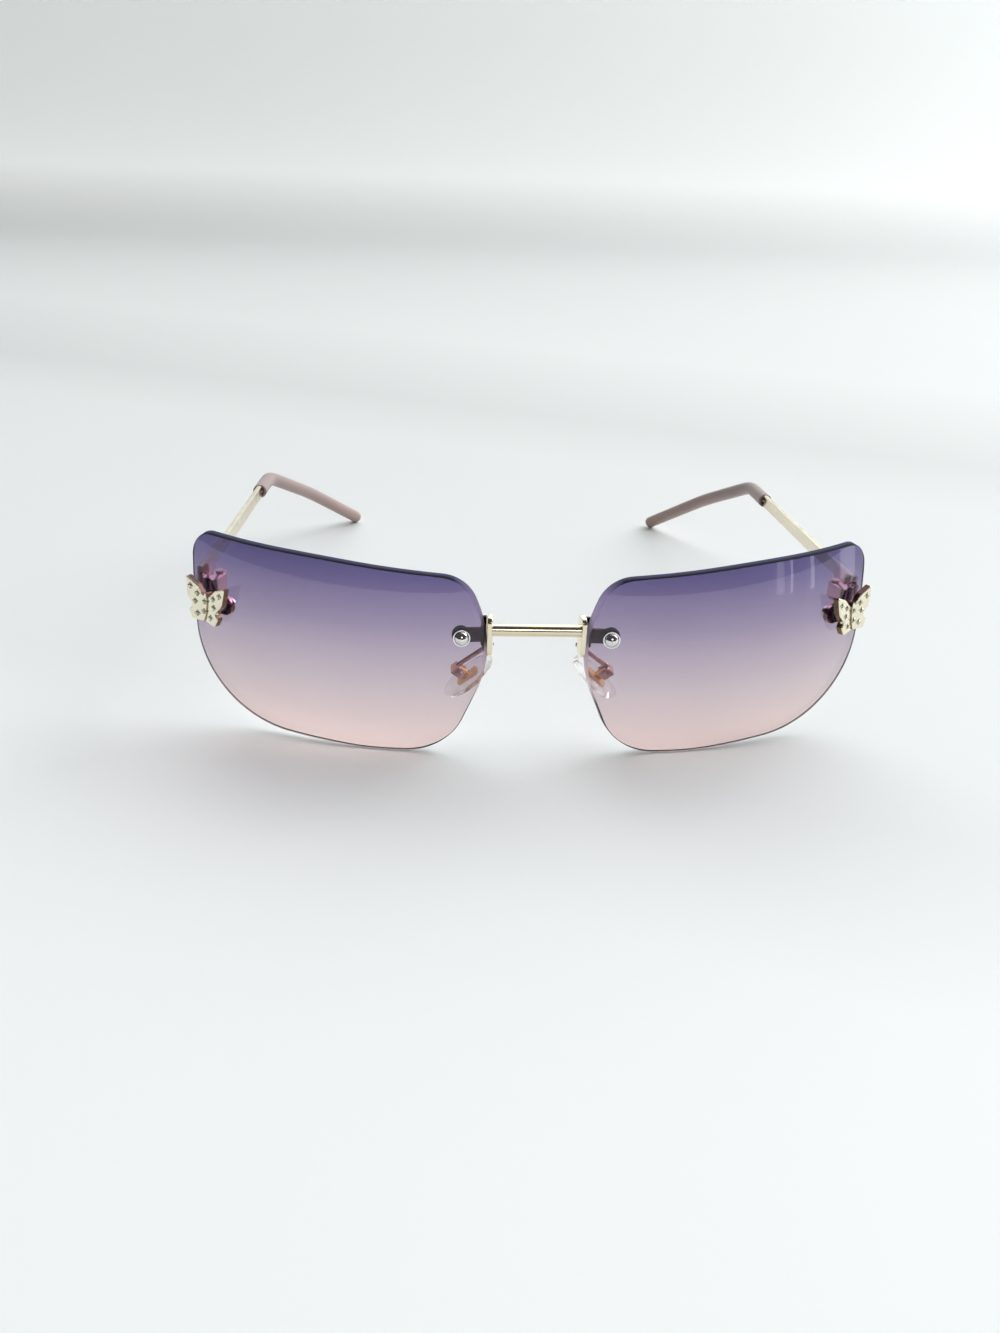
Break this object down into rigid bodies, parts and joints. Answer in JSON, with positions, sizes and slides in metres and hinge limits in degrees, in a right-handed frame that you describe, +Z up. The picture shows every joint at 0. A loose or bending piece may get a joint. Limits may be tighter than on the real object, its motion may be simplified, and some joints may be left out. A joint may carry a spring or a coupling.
{
  "type": "sunglasses",
  "caption": "Rimless sunglasses with graduated lenses, a round bridge rod, folding temples, rocking nose pads and a butterfly ornament on the outer end of each lens.",
  "frame": {"origin": "under the middle of the opened sunglasses' box, on the surface they stand on", "axes": "+X to the wearer's left, -Y the way the lenses look, +Z up; the sunglasses stand on the lenses' lower edges and the ends of the temple tips"},
  "size_m": [0.1444, 0.1488, 0.043],
  "materials": {
    "gold": "polished pale champagne plating",
    "dome_metal": "polished silver",
    "sleeve_plastic": "clear",
    "dark_metal": "dark gloss",
    "screw_steel": "satin",
    "tinted_lens": "polished, graduated from indigo at the top to pale pink at the bottom",
    "butterfly_gold": "bright cream-gold plating",
    "stone": "facetted",
    "hinge_metal": "polished, rose tone",
    "pad_silicone": "clear gloss",
    "pad_core": "amber, satin",
    "temple_metal": "satin pale gold",
    "tip_plastic": "soft translucent mauve"
  },
  "bodies": {
    "front": {"bridge_bar": "gold", "bridge_plate_left": "gold", "bridge_plate_right": "gold", "bridge_screw_left": "dome_metal", "bridge_screw_right": "dome_metal", "bridge_bush_left": "sleeve_plastic", "bridge_bush_right": "sleeve_plastic", "bridge_nut_left": "dark_metal", "bridge_nut_right": "dark_metal", "pad_arm_left": "gold", "pad_arm_right": "gold", "pad_screw_left": "screw_steel", "pad_screw_right": "screw_steel", "lens_left": "tinted_lens", "lens_right": "tinted_lens", "butterfly_left": "butterfly_gold", "butterfly_right": "butterfly_gold", "butterfly_stones_left": "stone", "butterfly_stones_right": "stone", "endpiece_left": "hinge_metal", "endpiece_right": "hinge_metal", "endpiece_bushes_left": "sleeve_plastic", "endpiece_bushes_right": "sleeve_plastic", "endpiece_nut_left": "hinge_metal", "endpiece_nut_right": "hinge_metal", "hinge_front_left": "hinge_metal", "hinge_front_right": "hinge_metal", "hinge_screw_left": "screw_steel", "hinge_screw_right": "screw_steel"},
    "left_pad": {"nose_pad_left": "pad_silicone", "pad_insert_left": "pad_core"},
    "right_pad": {"nose_pad_right": "pad_silicone", "pad_insert_right": "pad_core"},
    "left_temple": {"temple_left": "temple_metal", "hinge_rear_left": "hinge_metal", "temple_tip_left": "tip_plastic"},
    "right_temple": {"temple_right": "temple_metal", "hinge_rear_right": "hinge_metal", "temple_tip_right": "tip_plastic"}
  },
  "joints": [
    {"name": "left_temple_fold", "type": "hinge", "parent": "front", "child": "left_temple", "pos_m": [0.06599, -0.05219, 0.0313], "axis": [0, 0, 1], "range_deg": [0, 84]},
    {"name": "right_temple_fold", "type": "hinge", "parent": "front", "child": "right_temple", "pos_m": [-0.06599, -0.05219, 0.0313], "axis": [0, 0, -1], "range_deg": [0, 75]},
    {"name": "left_pad_rock", "type": "hinge", "parent": "front", "child": "left_pad", "pos_m": [0.01546, -0.06529, 0.01695], "axis": [-0.0346, -0.9578, -0.2854], "range_deg": [-12, 12]},
    {"name": "right_pad_rock", "type": "hinge", "parent": "front", "child": "right_pad", "pos_m": [-0.01546, -0.06529, 0.01695], "axis": [-0.0346, 0.9578, 0.2854], "range_deg": [-12, 12]}
  ]
}
